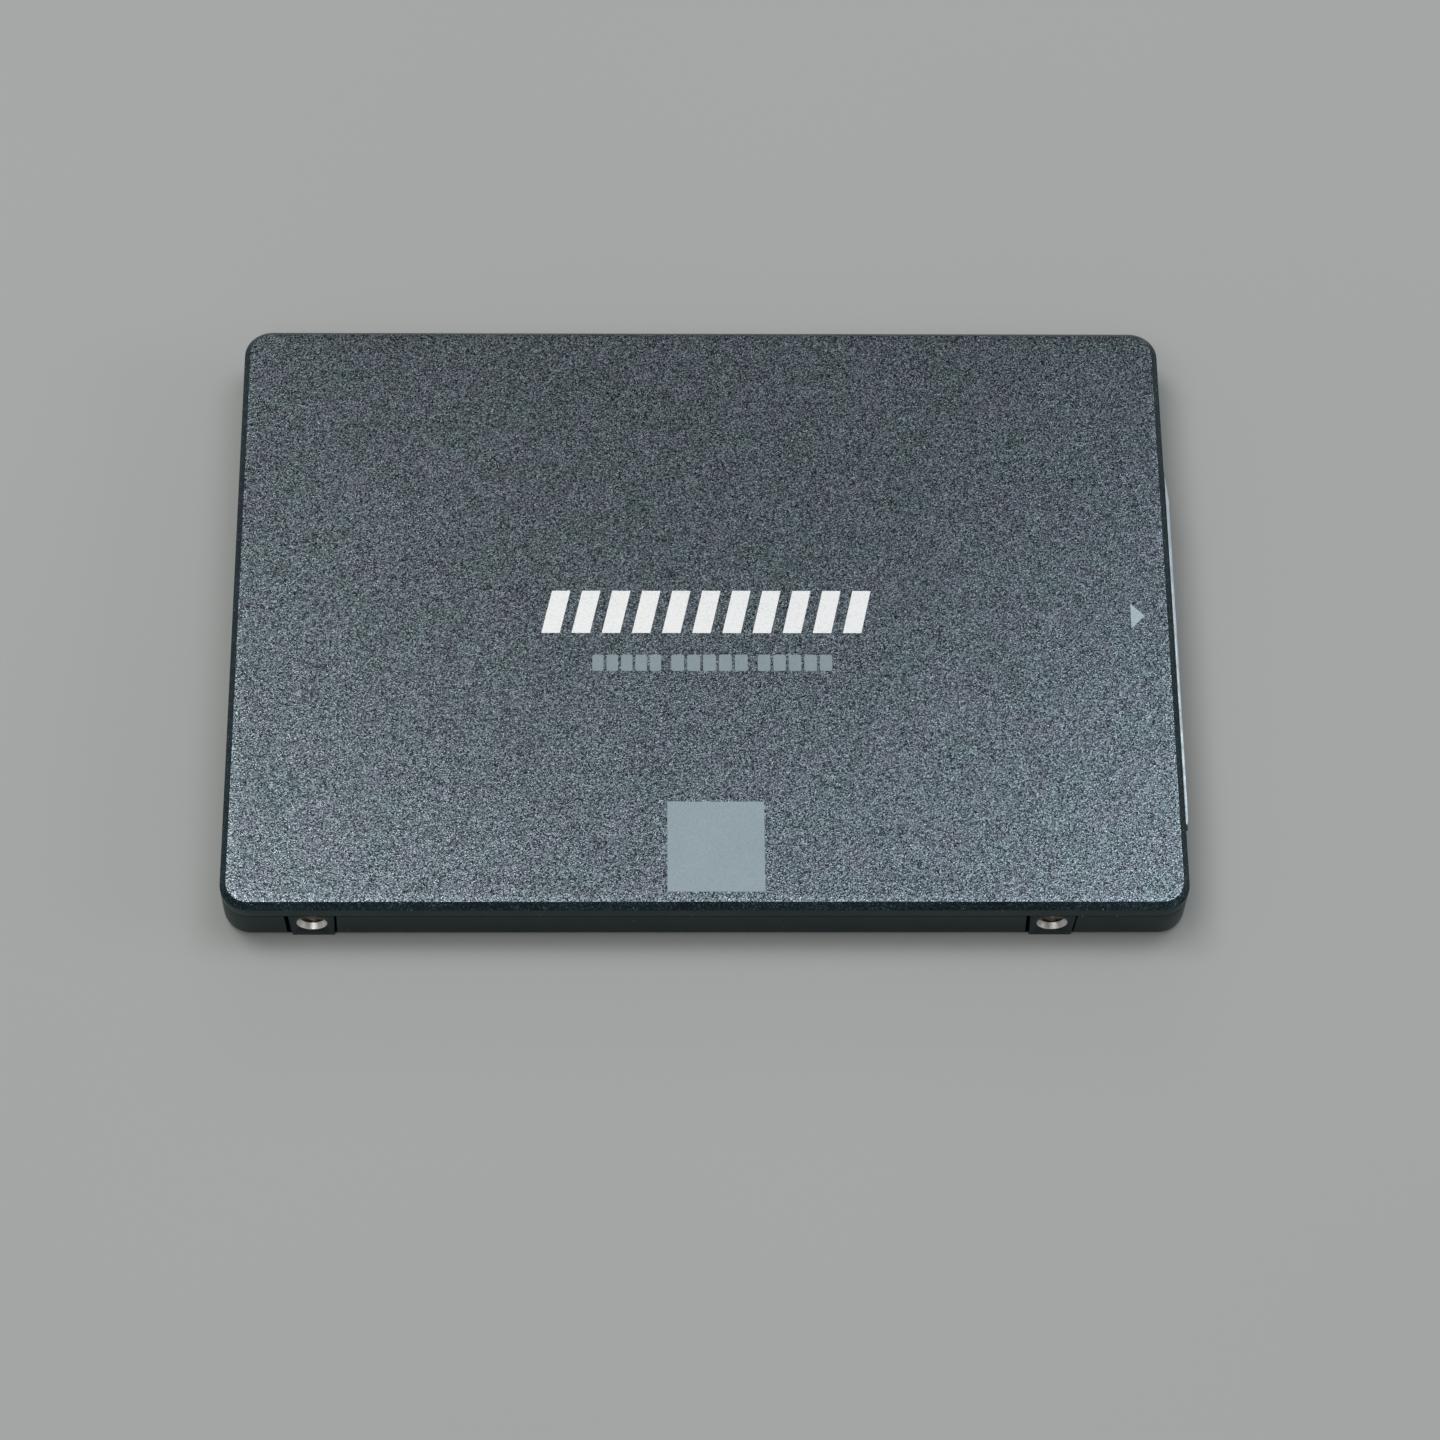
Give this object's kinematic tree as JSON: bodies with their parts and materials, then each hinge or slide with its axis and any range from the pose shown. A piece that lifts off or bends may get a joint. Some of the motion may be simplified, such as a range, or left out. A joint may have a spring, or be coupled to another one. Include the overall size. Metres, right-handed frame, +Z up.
{
  "type": "solid state drive",
  "caption": "Flat 2.5 inch solid state drive: two-part metal case with tapped mounting blocks and a keyed SATA plug at one end.",
  "frame": {"origin": "centre of the underside, at the middle of the overall length and width", "axes": "+X towards the plug end, +Y across the width away from the power end of the plug, +Z up through the label side"},
  "size_m": [0.1004, 0.0698, 0.0068],
  "materials": {
    "cover_paint": "satin",
    "case_black": "satin",
    "block_black": "satin",
    "screw_steel": "satin",
    "label_film": "satin",
    "board_laminate": "satin",
    "plug_black": "matte",
    "contact_gold": "polished",
    "tinned_metal": "satin",
    "chip_moulding": "matte",
    "inductor_ferrite": "matte",
    "capacitor_ceramic": "satin",
    "thermal_silicone": "matte"
  },
  "bodies": {
    "root": {"board_lock_power": "tinned_metal", "board_lock_signal": "tinned_metal", "case_screw_1": "screw_steel", "case_screw_2": "screw_steel", "case_screw_3": "screw_steel", "controller_chip": "chip_moulding", "controller_thermal_pad": "thermal_silicone", "crystal_oscillator": "tinned_metal", "dram_chip": "chip_moulding", "flash_package_1": "chip_moulding", "flash_package_2": "chip_moulding", "flash_package_3": "chip_moulding", "flash_package_4": "chip_moulding", "lower_shell": "case_black", "memory_thermal_pad": "thermal_silicone", "mount_block_closed_back": "block_black", "mount_block_closed_front": "block_black", "mount_block_plug_back": "block_black", "mount_block_plug_front": "block_black", "power_contact_1": "contact_gold", "power_contact_10": "contact_gold", "power_contact_11": "contact_gold", "power_contact_12": "contact_gold", "power_contact_13": "contact_gold", "power_contact_14": "contact_gold", "power_contact_15": "contact_gold", "power_contact_2": "contact_gold", "power_contact_3": "contact_gold", "power_contact_4": "contact_gold", "power_contact_5": "contact_gold", "power_contact_6": "contact_gold", "power_contact_7": "contact_gold", "power_contact_8": "contact_gold", "power_contact_9": "contact_gold", "power_inductor_1": "inductor_ferrite", "power_inductor_2": "inductor_ferrite", "power_management_chip": "chip_moulding", "printed_circuit_board": "board_laminate", "rear_label": "label_film", "sata_plug_housing": "plug_black", "signal_contact_1": "contact_gold", "signal_contact_2": "contact_gold", "signal_contact_3": "contact_gold", "signal_contact_4": "contact_gold", "signal_contact_5": "contact_gold", "signal_contact_6": "contact_gold", "signal_contact_7": "contact_gold", "tank_capacitor_1": "capacitor_ceramic", "tank_capacitor_2": "capacitor_ceramic", "tank_capacitor_3": "capacitor_ceramic", "tank_capacitor_4": "capacitor_ceramic", "tank_capacitor_5": "capacitor_ceramic", "tank_capacitor_6": "capacitor_ceramic", "upper_shell": "cover_paint"}
  },
  "joints": []
}
